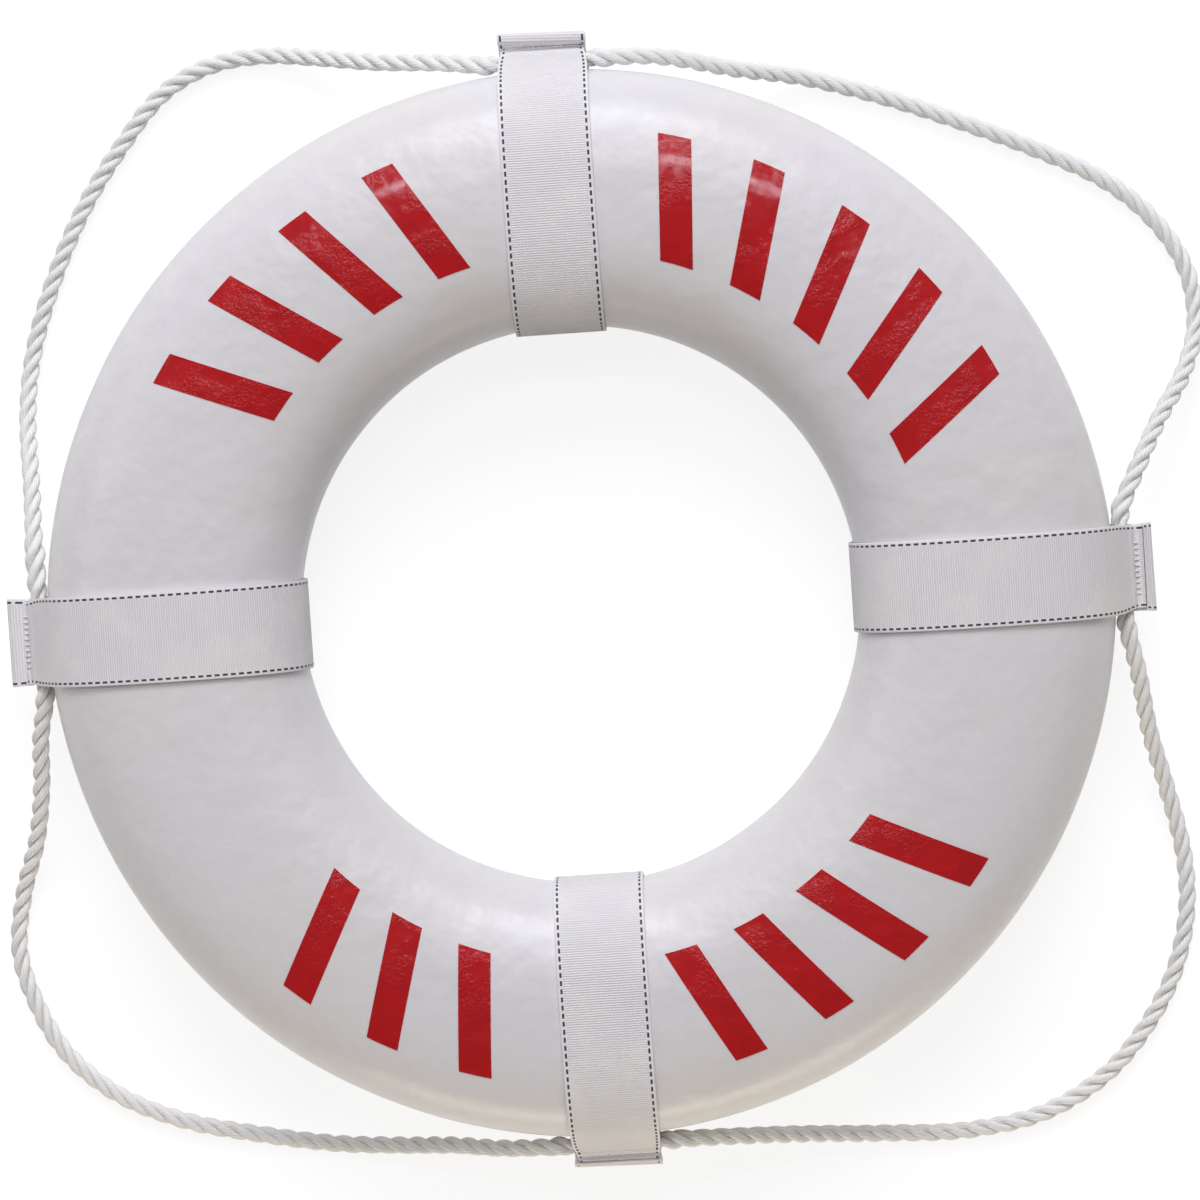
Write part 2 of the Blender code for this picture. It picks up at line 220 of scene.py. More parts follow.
class LifeRingColours(PropertyGroup):
    """Colours of the ring's finishes, as linear values."""

    vinyl: FloatVectorProperty(
        name="Vinyl", description="The cover", default=(0.780, 0.775, 0.795), subtype="COLOR")
    foam: FloatVectorProperty(
        name="Foam", description="The core under the cover", default=(0.860, 0.820, 0.700),
        subtype="COLOR")
    webbing: FloatVectorProperty(
        name="Webbing", description="The straps", default=(0.925, 0.915, 0.940),
        subtype="COLOR")
    tracer: FloatVectorProperty(
        name="Tracer", description="The dark yarns near the webbing's edges",
        default=(0.045, 0.040, 0.085), subtype="COLOR")
    thread: FloatVectorProperty(
        name="Thread", description="The seams in the tabs", default=(0.830, 0.820, 0.800),
        subtype="COLOR")
    rope: FloatVectorProperty(
        name="Rope", description="The grab line", default=(0.960, 0.965, 0.945),
        subtype="COLOR")
    mark: FloatVectorProperty(
        name="Mark", description="The red film", default=(0.500, 0.004, 0.008),
        subtype="COLOR")


def sizes():
    """The sizes that the user can change."""
    return bpy.context.scene.life_ring_sizes


def colours():
    """The colours that the user can change."""
    return bpy.context.scene.life_ring_colours


# Materials

def start_finish(name):
    """A new material, its node tree and its Principled BSDF."""
    made = bpy.data.materials.new(name)
    made.use_nodes = True
    tree = made.node_tree
    return made, tree, tree.nodes["Principled BSDF"]


def set_inputs(tree, node, inputs):
    """Link sockets to a node's inputs, and set plain values on them."""
    for key, value in inputs.items():
        if isinstance(value, bpy.types.NodeSocket):
            tree.links.new(value, node.inputs[key])
        else:
            node.inputs[key].default_value = value


def add_node(tree, kind, inputs=None, **settings):
    """Add a node, with its settings, and with sockets or plain values for its inputs."""
    made = tree.nodes.new(kind)
    for setting, value in settings.items():
        setattr(made, setting, value)
    set_inputs(tree, made, inputs or {})
    return made


def calc(tree, operation, *values):
    """Result of a Math node."""
    return add_node(tree, "ShaderNodeMath", dict(enumerate(values)), operation=operation).outputs[0]


def soft_step(tree, value, low, high, start=0.0, stop=1.0):
    """A value that goes smoothly from start to stop as another goes from low to high."""
    made = add_node(
        tree, "ShaderNodeMapRange",
        {"Value": value, "From Min": low, "From Max": high, "To Min": start, "To Max": stop},
        interpolation_type="SMOOTHSTEP")
    return made.outputs["Result"]


def cloud(tree, place, scale, detail=2.0, roughness=0.5):
    """Soft noise round 0.5; scale is in cells per metre."""
    made = add_node(
        tree, "ShaderNodeTexNoise",
        {"Vector": place, "Scale": scale, "Detail": detail, "Roughness": roughness})
    return made.outputs["Fac"]


def opaque(colour):
    """A colour with its alpha; a socket stays as it is."""
    return colour if isinstance(colour, bpy.types.NodeSocket) else (*colour, 1.0)


def blend_colours(tree, share, first, second):
    """Mix of two colours. Sockets 0, 6 and 7 of the node are its share and its two colours."""
    inputs = {0: share, 6: opaque(first), 7: opaque(second)}
    return add_node(tree, "ShaderNodeMix", inputs, data_type="RGBA").outputs[2]


def raise_surface(tree, height, distance, below=None):
    """Normal of a surface with a height pattern; below is the normal of a coarser pattern."""
    inputs = {"Height": height, "Distance": distance, "Strength": 1.0}
    if below is not None:
        inputs["Normal"] = below
    return add_node(tree, "ShaderNodeBump", inputs).outputs["Normal"]


def object_place(tree):
    """Object coordinates, in metres."""
    return add_node(tree, "ShaderNodeTexCoord").outputs["Object"]


def shaded(colour, factor):
    """A colour made darker or lighter by a factor."""
    return tuple(min(channel * factor, 1.0) for channel in colour)


def vinyl_finish():
    """Satin vinyl skin: a fine pebble, slow unevenness, faint yellowing and small scuffs."""
    made, tree, shader = start_finish("white_vinyl")
    base = tuple(colours().vinyl)
    place = object_place(tree)
    patches = cloud(tree, place, 9.0, 3.0)
    aged = (base[0], base[1] * 0.985, base[2] * 0.955)
    body = blend_colours(tree, soft_step(tree, patches, 0.40, 0.70), base, aged)
    mottle = cloud(tree, place, 140.0, 3.0, 0.6)
    body = blend_colours(
        tree, soft_step(tree, mottle, 0.35, 0.75, 0.0, 0.35), body, shaded(base, 0.93))
    specks = cloud(tree, place, 620.0, 2.0)
    body = blend_colours(
        tree, soft_step(tree, specks, 0.70, 0.80, 0.0, 0.30), body, shaded(base, 0.70))
    gloss = calc(tree, "MULTIPLY_ADD", mottle, 0.16, 0.30)
    slow = raise_surface(tree, cloud(tree, place, 55.0, 2.0), 0.0012)
    pebble = raise_surface(tree, cloud(tree, place, 1100.0, 2.0), 0.00006, slow)
    set_inputs(tree, shader, {
        "Base Color": body, "Roughness": gloss, "Coat Weight": 0.12, "Coat Roughness": 0.22,
        "Normal": pebble})
    return made


def foam_finish():
    """Cut closed-cell foam: small cells, with a few larger pores, and painted shade in their hollows.
    """
    made, tree, shader = start_finish("foam")
    base = tuple(colours().foam)
    place = object_place(tree)
    voronoi = add_node(tree, "ShaderNodeTexVoronoi", {"Vector": place, "Scale": 900.0})
    cells = voronoi.outputs["Distance"]
    pores = soft_step(tree, cloud(tree, place, 320.0, 2.0), 0.60, 0.75)
    # Painted shade: the hollow of each cell, where its bump is lowest, and the larger pores are
    # painted darker, as shade in them.
    body = blend_colours(tree, soft_step(tree, cells, 0.0, 0.6), shaded(base, 0.82), base)
    body = blend_colours(tree, pores, body, shaded(base, 0.65))
    set_inputs(tree, shader, {
        "Base Color": body, "Roughness": 0.92, "Normal": raise_surface(tree, cells, 0.0004)})
    return made


RIB_PITCH = 0.00136          # one weft rib of the webbing
WARP_PITCH = 0.00150         # one warp yarn
EDGE_BAND = 0.0032           # webbing's edge to where its weave begins to fade
EDGE_FADE = 0.0006
TRACER_INSET = 0.0019        # webbing's edge to the middle of a tracer yarn
TRACER_HALF = 0.0005         # half of its full width, beyond which it fades
TRACER_FADE = 0.0002
TRACER_PITCH = 0.00455       # one dash and one gap


def webbing_finish():
    """Woven webbing: cross ribs broken by the warp, with painted shade in their hollows, smooth edges
    and dashed tracer yarns.
    """
    made, tree, shader = start_finish("white_webbing")
    base = tuple(colours().webbing)
    half = sizes().webbing_width / 2
    line = add_node(tree, "ShaderNodeUVMap", uv_map="cloth").outputs["UV"]
    parts = add_node(tree, "ShaderNodeSeparateXYZ", {"Vector": line})
    across, along = parts.outputs["X"], parts.outputs["Y"]
    from_middle = calc(tree, "ABSOLUTE", across)
    place = object_place(tree)
    wander = cloud(tree, place, 260.0, 1.0)

    # Weft ribs run across the webbing; warp yarns part them into a fine brick pattern
    rib = calc(tree, "SINE", calc(tree, "MULTIPLY_ADD", wander, 0.9, calc(
        tree, "MULTIPLY", along, math.tau / RIB_PITCH)))
    warp = calc(tree, "COSINE", calc(tree, "MULTIPLY", across, math.tau / WARP_PITCH))
    brick = calc(tree, "SINE", calc(tree, "MULTIPLY", along, math.tau / (2 * RIB_PITCH)))
    knot = calc(tree, "MULTIPLY", warp, brick)
    weave = calc(tree, "MULTIPLY_ADD", knot, 0.30, calc(tree, "MULTIPLY", rib, 0.55))
    inside = soft_step(
        tree, from_middle, half - EDGE_BAND, half - EDGE_BAND + EDGE_FADE, 1.0, 0.0)
    weave = calc(tree, "MULTIPLY", weave, inside)
    height = calc(tree, "MULTIPLY_ADD", weave, 0.5, 0.5)

    # Tracer: a dark yarn that shows as dashes, just inside a plain edge
    line_gap = calc(tree, "ABSOLUTE", calc(tree, "SUBTRACT", from_middle, half - TRACER_INSET))
    in_line = soft_step(tree, line_gap, TRACER_HALF, TRACER_HALF + TRACER_FADE, 1.0, 0.0)
    beat = calc(tree, "FRACT", calc(tree, "MULTIPLY", along, 1.0 / TRACER_PITCH))
    beat_gap = calc(tree, "ABSOLUTE", calc(tree, "SUBTRACT", beat, 0.5))
    in_dash = soft_step(tree, beat_gap, 0.27, 0.35, 1.0, 0.0)
    dash = calc(tree, "MULTIPLY", in_line, in_dash)

    # Painted shade: the weave's low places, between the ribs and the warp yarns, are painted darker as
    # shade.
    body = blend_colours(tree, soft_step(tree, height, 0.10, 0.75), shaded(base, 0.72), base)
    thread_line = add_node(
        tree, "ShaderNodeCombineXYZ",
        {"X": calc(tree, "MULTIPLY", across, 22.0), "Y": calc(tree, "MULTIPLY", along, 430.0)})
    streaks = cloud(tree, thread_line.outputs["Vector"], 1.0, 2.0)
    body = blend_colours(
        tree, soft_step(tree, streaks, 0.40, 0.66, 0.0, 0.6), body, shaded(base, 0.86))
    tired = soft_step(tree, cloud(tree, place, 38.0, 3.0), 0.45, 0.70, 0.0, 0.5)
    body = blend_colours(tree, tired, body, (base[0] * 0.97, base[1] * 0.96, base[2] * 0.90))
    body = blend_colours(tree, dash, body, tuple(colours().tracer))
    raised = calc(tree, "MULTIPLY_ADD", dash, 0.35, height)
    set_inputs(tree, shader, {
        "Base Color": body, "Roughness": 0.68, "Sheen Weight": 0.15, "Sheen Roughness": 0.45,
        "Normal": raise_surface(tree, raised, 0.00038)})
    return made


def thread_finish():
    """Twisted sewing thread."""
    made, tree, shader = start_finish("white_thread")
    base = tuple(colours().thread)
    place = object_place(tree)
    fibres = cloud(tree, place, 2600.0, 2.0)
    body = blend_colours(tree, soft_step(tree, fibres, 0.35, 0.70), base, shaded(base, 0.84))
    set_inputs(tree, shader, {
        "Base Color": body, "Roughness": 0.55, "Normal": raise_surface(tree, fibres, 0.00010)})
    return made


def rope_finish():
    """Three-strand rope: yarns that run nearly along it, fine fibres, and painted shade between the
    yarns and in the grooves between the strands.
    """
    made, tree, shader = start_finish("white_rope")
    base = tuple(colours().rope)
    place = object_place(tree)
    line = add_node(tree, "ShaderNodeUVMap", uv_map="lay").outputs["UV"]
    parts = add_node(tree, "ShaderNodeSeparateXYZ", {"Vector": line})
    along, around = parts.outputs["X"], parts.outputs["Y"]
    depth = add_node(tree, "ShaderNodeAttribute", attribute_name="groove").outputs["Fac"]
    wander = cloud(tree, place, 190.0, 2.0)
    turn = calc(tree, "MULTIPLY_ADD", along, 34.0, calc(tree, "MULTIPLY", around, 21.0))
    yarn = calc(tree, "SINE", calc(tree, "MULTIPLY_ADD", wander, 3.2, turn))
    yarn = calc(tree, "MULTIPLY_ADD", yarn, 0.5, 0.5)
    stretched = add_node(
        tree, "ShaderNodeCombineXYZ",
        {"X": calc(tree, "MULTIPLY", along, 160.0), "Y": calc(tree, "MULTIPLY", around, 9.0)})
    fibres = cloud(tree, stretched.outputs["Vector"], 1.0, 4.0, 0.65)
    # Painted shade: the low places between the yarns are painted darker, as shade.
    body = blend_colours(tree, soft_step(tree, yarn, 0.0, 0.8), shaded(base, 0.93), base)
    body = blend_colours(
        tree, soft_step(tree, fibres, 0.40, 0.75, 0.0, 0.5), body, shaded(base, 0.90))
    # Painted shade: the grooves between the strands are painted darker by their depth, as shade in
    # them.
    groove_shade = (base[0] * 0.88, base[1] * 0.90, base[2] * 0.88)
    body = blend_colours(tree, soft_step(tree, depth, 0.45, 1.0, 0.0, 0.8), body, groove_shade)
    coarse = raise_surface(tree, yarn, 0.00022)
    set_inputs(tree, shader, {
        "Base Color": body, "Roughness": 0.52, "Sheen Weight": 0.12, "Subsurface Weight": 0.5,
        "Subsurface Radius": (1.0, 1.0, 0.9), "Subsurface Scale": 0.0022,
        "Normal": raise_surface(tree, fibres, 0.00016, coarse)})
    return made


def film_finish():
    """Glossy adhesive film, with patches of fine wrinkles and trapped air."""
    made, tree, shader = start_finish("red_vinyl")
    base = tuple(colours().mark)
    place = object_place(tree)
    patches = soft_step(tree, cloud(tree, place, 42.0, 2.0), 0.40, 0.58)
    creases = cloud(tree, place, 480.0, 3.0, 0.6)
    body = blend_colours(
        tree, soft_step(tree, cloud(tree, place, 60.0, 2.0), 0.40, 0.70), base, shaded(base, 0.90))
    gloss = calc(tree, "MULTIPLY_ADD", cloud(tree, place, 210.0, 2.0), 0.14, 0.13)
    slow = raise_surface(tree, cloud(tree, place, 55.0, 2.0), 0.0012)
    wrinkled = calc(tree, "MULTIPLY", creases, patches)
    set_inputs(tree, shader, {
        "Base Color": body, "Roughness": gloss, "Specular IOR Level": 0.35, "Coat Weight": 0.35,
        "Coat Roughness": 0.10, "Normal": raise_surface(tree, wrinkled, 0.00065, slow)})
    return made


FINISHES = {
    "white_vinyl": vinyl_finish,
    "foam": foam_finish,
    "white_webbing": webbing_finish,
    "white_thread": thread_finish,
    "white_rope": rope_finish,
    "red_vinyl": film_finish,
}


def finish(name):
    """The named finish, made when it is first asked for."""
    key = "finish_" + name
    found = bpy.data.materials.get(key)
    if found is None:
        found = FINISHES[name]()
        found.name = key
    return found


# Shared shapes

def outer_radius():
    """Radius of the ring's outside."""
    return sizes().outer_diameter / 2


def middle_radius():
    """Distance from the ring's axis to the middle of its section."""
    return (sizes().outer_diameter + sizes().hole_diameter) / 4


def half_width():
    """Half of the section's width."""
    return (sizes().outer_diameter - sizes().hole_diameter) / 4


def middle_height():
    """Height of the ring's mid-thickness: the webbing under it lies on the floor."""
    return sizes().thickness / 2 + sizes().strap_ease + sizes().webbing_thickness


def rope_seat():
    """Distance from the ring's axis to the rope in a strap."""
    return outer_radius() + SEAT_GAP + sizes().rope_diameter / 2


def deselect_all():
    """Leave edit mode, and select nothing."""
    if bpy.context.object and bpy.context.object.mode != "OBJECT":
        bpy.ops.object.mode_set(mode="OBJECT")
    bpy.ops.object.select_all(action="DESELECT")


def select_only(made):
    """Select one object, and make it the active one."""
    deselect_all()
    made.select_set(True)
    bpy.context.view_layer.objects.active = made


def edit_all(made):
    """Go into edit mode on one object, with all of it selected."""
    bpy.context.view_layer.objects.active = made
    bpy.ops.object.mode_set(mode="EDIT")
    bpy.ops.mesh.select_all(action="SELECT")


def section_point(wide, high, radians):
    """Point of the ring's rounded section at an angle."""
    power = 2.0 / sizes().squareness
    cosine = math.cos(radians)
    sine = math.sin(radians)
    across = math.copysign(abs(cosine) ** power, cosine) * wide
    up = math.copysign(abs(sine) ** power, sine) * high
    return across, up


def section_slope(across, up):
    """Direction that points out of the section at one of its points."""
    power = sizes().squareness - 1.0
    wide = half_width()
    high = sizes().thickness / 2
    out = math.copysign(abs(across / wide) ** power / wide, across)
    rise = math.copysign(abs(up / high) ** power / high, up)
    length = math.hypot(out, rise)
    return out / length, rise / length


def cover_point(across, up, turn, lift=0.0):
    """Place on the cover's outside, which follows slow swells of the foam, and lift above it."""
    out, rise = section_slope(across, up)
    radius = middle_radius() + across
    flat = Vector((radius * math.cos(turn), radius * math.sin(turn), up))
    swell = noise.noise(flat / SWELL_SIZE) + 0.4 * noise.noise(flat / (SWELL_SIZE * 0.4))
    push = SWELL_HEIGHT * swell + lift
    radius += out * push
    return Vector((
        radius * math.cos(turn), radius * math.sin(turn), up + rise * push + middle_height()))


def name_piece(made, name, finish_name, body="ring"):
    """Give a finished mesh its name and its finish, and let it ride on its body."""
    made.name = name
    made.data.name = name
    made.data.materials.clear()
    made.data.materials.append(finish(finish_name))
    if body:
        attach(made, body)
    return made


def apply_modifiers(made):
    """Apply an object's modifiers, first to last."""
    select_only(made)
    for modifier in list(made.modifiers):
        bpy.ops.object.modifier_apply(modifier=modifier.name)


def add_wall(made, thickness, offset=-1.0):
    """Give a skin its thickness: inwards of it at an offset of -1, and to both sides at 0."""
    wall = made.modifiers.new("wall", "SOLIDIFY")
    wall.thickness = thickness
    wall.offset = offset


def round_edges(made, width):
    """Round the sharp edges of a wall."""
    edge = made.modifiers.new("edge", "BEVEL")
    edge.width = width
    edge.segments = 2
    edge.limit_method = "ANGLE"
    edge.angle_limit = math.radians(EDGE_ANGLE)


def smooth(made, degrees=50.0):
    """Shade smoothly, except across edges sharper than an angle."""
    select_only(made)
    bpy.ops.object.shade_smooth_by_angle(angle=math.radians(degrees))


def reach_along(line):
    """Distance along a line of points from its start to each of them."""
    reach = [0.0]
    for start, stop in zip(line, line[1:]):
        reach.append(reach[-1] + (stop - start).length)
    return reach


def points_at(line, goals):
    """Points of a line at growing distances from its start."""
    reach = reach_along(line)
    found = []
    span = 0
    for goal in goals:
        while span < len(line) - 2 and reach[span + 1] < goal:
            span += 1
        share = (goal - reach[span]) / (reach[span + 1] - reach[span])
        found.append(line[span].lerp(line[span + 1], share))
    return found


def even_points(line, gap):
    """Points at nearly equal gaps along a line of points, its two ends among them."""
    total = reach_along(line)[-1]
    count = max(2, round(total / gap))
    return points_at(line, [total * step / count for step in range(count + 1)])


def curve_through(route, steps=12):
    """A smooth curve through every point of a route (Catmull-Rom, by chord length)."""
    ends = [2 * route[0] - route[1]] + list(route) + [2 * route[-1] - route[-2]]
    fine = []
    for p0, p1, p2, p3 in zip(ends, ends[1:], ends[2:], ends[3:]):
        t1 = (p1 - p0).length ** 0.5
        t2 = t1 + (p2 - p1).length ** 0.5
        t3 = t2 + (p3 - p2).length ** 0.5
        for step in range(steps):
            t = t1 + (t2 - t1) * step / steps
            a1 = p0 * ((t1 - t) / t1) + p1 * (t / t1)
            a2 = p1 * ((t2 - t) / (t2 - t1)) + p2 * ((t - t1) / (t2 - t1))
            a3 = p2 * ((t3 - t) / (t3 - t2)) + p3 * ((t - t2) / (t3 - t2))
            b1 = a1 * ((t2 - t) / t2) + a2 * (t / t2)
            b2 = a2 * ((t3 - t) / (t3 - t1)) + a3 * ((t - t1) / (t3 - t1))
            fine.append(b1 * ((t2 - t) / (t2 - t1)) + b2 * ((t - t1) / (t2 - t1)))
    fine.append(route[-1].copy())
    return fine


# Stage

CAMERA_RIGHT_TILT = 1.6      # the camera stands a little to the picture's right of the axis
CAMERA_UP_TILT = 2.6         # and a little to its top
CAMERA_ROLL = 3.9            # the ring is turned in the picture
CAMERA_DISTANCE = 2.5
CAMERA_LENS = 131.25         # in millimetres, as is the sensor's width
CAMERA_SENSOR = 36.0
CAMERA_REACH = 60.0          # farthest distance that it sees
AIM_RIGHT = 0.0113           # the ring's middle is left of the picture's
AIM_UP = 0.0029
FLOOR_SIZE = 24.0

# Name, place, width and height, watts and colour
LAMPS = (
    ("key_lamp", (0.25, 6.30, 5.25), (4.4, 3.4), 400.0, (0.97, 0.965, 1.0)),
    ("strip_lamp", (0.0, 1.15, 2.55), (1.3, 0.20), 11.0, (0.94, 0.88, 1.0)),
    ("left_lamp", (-2.20, 0.60, 1.50), (0.9, 0.9), 4.0, (0.97, 0.96, 1.0)),
    ("warm_lamp", (0.10, -2.20, 0.19), (2.6, 0.36), 23.0, (1.0, 0.91, 0.74)),
)
LAMP_TARGET = (0.0, 0.0, 0.05)
SKY_LOW = 0.215              # strength of the sky at the floor's level
SKY_HIGH = 0.26              # and high above
SKY_AHEAD = 0.45             # it grows by this share towards the picture's top
FLOOR_GLOW = 0.84            # light that lifts the seen floor to white
FLOOR_SEEN = 0.25            # grey that catches the shadow under that light


def camera_axes():
    """The camera's right, up and backward directions."""
    roll = math.radians(CAMERA_ROLL)
    level = Vector((math.cos(roll), -math.sin(roll), 0.0))
    ahead = Vector((math.sin(roll), math.cos(roll), 0.0))
    back = Vector((0.0, 0.0, 1.0))
    back += level * math.tan(math.radians(CAMERA_RIGHT_TILT))
    back += ahead * math.tan(math.radians(CAMERA_UP_TILT))
    back.normalize()
    right = ahead.cross(back).normalized()
    return right, back.cross(right), back


def make_camera():
    """A long lens nearly straight above the ring."""
    data = bpy.data.cameras.new("camera")
    data.lens = CAMERA_LENS
    data.sensor_width = CAMERA_SENSOR
    data.clip_end = CAMERA_REACH
    camera = bpy.data.objects.new("camera", data)
    bpy.context.scene.collection.objects.link(camera)
    right, up, back = camera_axes()
    aim = Vector((0.0, 0.0, middle_height())) + right * AIM_RIGHT + up * AIM_UP
    turned = Matrix((right, up, back)).transposed().to_4x4()
    camera.matrix_world = Matrix.Translation(aim + back * CAMERA_DISTANCE) @ turned
    bpy.context.scene.camera = camera


def make_lamp(name, place, size, watts, colour):
    """A soft rectangular lamp that points at the ring's middle."""
    data = bpy.data.lights.new(name, "AREA")
    data.shape = "RECTANGLE"
    data.size = size[0]
    data.size_y = size[1]
    data.energy = watts
    data.color = colour
    lamp = bpy.data.objects.new(name, data)
    bpy.context.scene.collection.objects.link(lamp)
    turned = (Vector(LAMP_TARGET) - Vector(place)).to_track_quat("-Z", "Y").to_matrix().to_4x4()
    lamp.matrix_world = Matrix.Translation(place) @ turned


def make_world():
    """A soft sky, brighter and cooler at the picture's top. The camera sees it as plain white."""
    world = bpy.data.worlds.new("studio")
    bpy.context.scene.world = world
    world.use_nodes = True
    tree = world.node_tree
    tree.nodes.clear()
    direction = add_node(tree, "ShaderNodeTexCoord").outputs["Generated"]
    parts = add_node(tree, "ShaderNodeSeparateXYZ", {"Vector": direction})
    height = soft_step(tree, parts.outputs["Z"], 0.0, 0.8, SKY_LOW, SKY_HIGH)
    ahead = calc(tree, "MULTIPLY_ADD", parts.outputs["Y"], SKY_AHEAD, 1.0)
    tint = blend_colours(
        tree, soft_step(tree, parts.outputs["Y"], -0.8, 0.5), (1.0, 0.92, 0.82), (0.97, 0.97, 1.0))
    sky = add_node(
        tree, "ShaderNodeBackground",
        {"Color": tint, "Strength": calc(tree, "MULTIPLY", height, ahead)})
    plain = add_node(
        tree, "ShaderNodeBackground", {"Color": (1.0, 1.0, 1.0, 1.0), "Strength": 1.0})
    seen = add_node(tree, "ShaderNodeLightPath").outputs["Is Camera Ray"]
    both = add_node(
        tree, "ShaderNodeMixShader", {0: seen, 1: sky.outputs[0], 2: plain.outputs[0]})
    add_node(tree, "ShaderNodeOutputWorld", {"Surface": both.outputs[0]})


def floor_finish():
    """White floor. The camera sees it lifted to white, with the object's shadow left in it."""
    made = bpy.data.materials.new("floor")
    made.use_nodes = True
    tree = made.node_tree
    tree.nodes.clear()
    grain = cloud(tree, object_place(tree), 30.0, 2.0)
    paint = blend_colours(tree, grain, (0.80, 0.79, 0.77), (0.82, 0.81, 0.79))
    matt = add_node(tree, "ShaderNodeBsdfDiffuse", {"Color": paint})
    grey = (FLOOR_SEEN, FLOOR_SEEN, FLOOR_SEEN, 1.0)
    dimmed = add_node(tree, "ShaderNodeBsdfDiffuse", {"Color": grey})
    glow = add_node(
        tree, "ShaderNodeEmission", {"Color": (1.0, 1.0, 1.0, 1.0), "Strength": FLOOR_GLOW})
    lifted = add_node(
        tree, "ShaderNodeAddShader", {0: dimmed.outputs[0], 1: glow.outputs[0]})
    path = add_node(tree, "ShaderNodeLightPath")
    seen = calc(tree, "MAXIMUM", path.outputs["Is Camera Ray"], path.outputs["Is Glossy Ray"])
    seen = calc(tree, "MAXIMUM", seen, path.outputs["Is Transmission Ray"])
    both = add_node(
        tree, "ShaderNodeMixShader", {0: seen, 1: matt.outputs[0], 2: lifted.outputs[0]})
    add_node(tree, "ShaderNodeOutputMaterial", {"Surface": both.outputs[0]})
    return made


class LIFERING_OT_stage(Operator):
    """Set up the camera, the lamps, the sky and the floor"""

    bl_idname = "life_ring.stage"
    bl_label = "Stage"

    def execute(self, context):
        deselect_all()
        make_camera()
        make_world()
        for lamp in LAMPS:
            make_lamp(*lamp)
        bpy.ops.mesh.primitive_plane_add(size=FLOOR_SIZE, location=(0.0, 0.0, 0.0))
        floor = bpy.context.object
        floor.name = "floor"
        floor.data.materials.append(floor_finish())
        bpy.context.scene.view_settings.view_transform = "Standard"
        return {"FINISHED"}


# Grab line

TUCK_AT = 0.0490             # left strap's middle to the middle of the lump where the ends join
TUCK_REACH = 0.0120
TUCK_GROWTH = 0.22
LOOSENESS = 0.08             # the rope is this much thicker where no strap presses on it
BULGE_GROWTH = 0.15          # and opens by this much more just beside each strap
BULGE_OFFSET = 0.0075
BULGE_REACH = 0.0060
FREEING_REACH = 0.0040       # the rope loosens over this length from the webbing's edge
LEAD = 0.0120                # from a free length's pivot back to where the rope's curve begins


def strap_direction(name):
    """Unit vector from the ring's axis towards a strap."""
    turn = math.radians(dict(STRAPS)[name])
    return Vector((math.cos(turn), math.sin(turn), 0.0))


def bight_route(leaves, reaches, points):
    """Centreline of one piece of the grab line, from the middle of one strap to that of the next."""
    lift = Vector((0.0, 0.0, middle_height()))
    beside = sizes().webbing_width / 2 + MOUTH
    out = strap_direction(leaves)
    along = strap_direction(reaches)
    start = out * rope_seat() + lift
    stop = along * rope_seat() + lift
    first = start + along * beside
    last = stop + out * beside
    lead = start + along * (beside - LEAD)
    trail = stop + out * (beside - LEAD)
    free = [lead, first] + [Vector(point) for point in points] + [last, trail]
    line = [start] + curve_through(free) + [stop]
    lowest = sizes().rope_diameter / 2 * (1.0 + LOOSENESS) + FLOOR_GAP
    for point in line:
        point.z = max(point.z, lowest)
    return line, (first + last) / 2


def lobe_outline():
    """One third of the rope's section, from groove to groove: polar angle, radius and depth."""
    strand = 0.464               # strand's radius as a share of the rope's
    centre = 1.0 - strand
    flat = strand * 1.12         # the section cuts each strand at a slant
    meets = math.radians(133.5)  # angle on the strand where it meets its neighbour
    points = []
    for step in range(ROPE_LOBE_POINTS):
        turn = meets * (2.0 * step / ROPE_LOBE_POINTS - 1.0)
        across = centre + strand * math.cos(turn)
        beside = flat * math.sin(turn)
        radius = math.hypot(across, beside)
        angle = math.atan2(beside, across) if step else -math.pi / 3
        points.append((angle, radius, min(1.0, (1.0 - radius) / 0.55)))
    return points


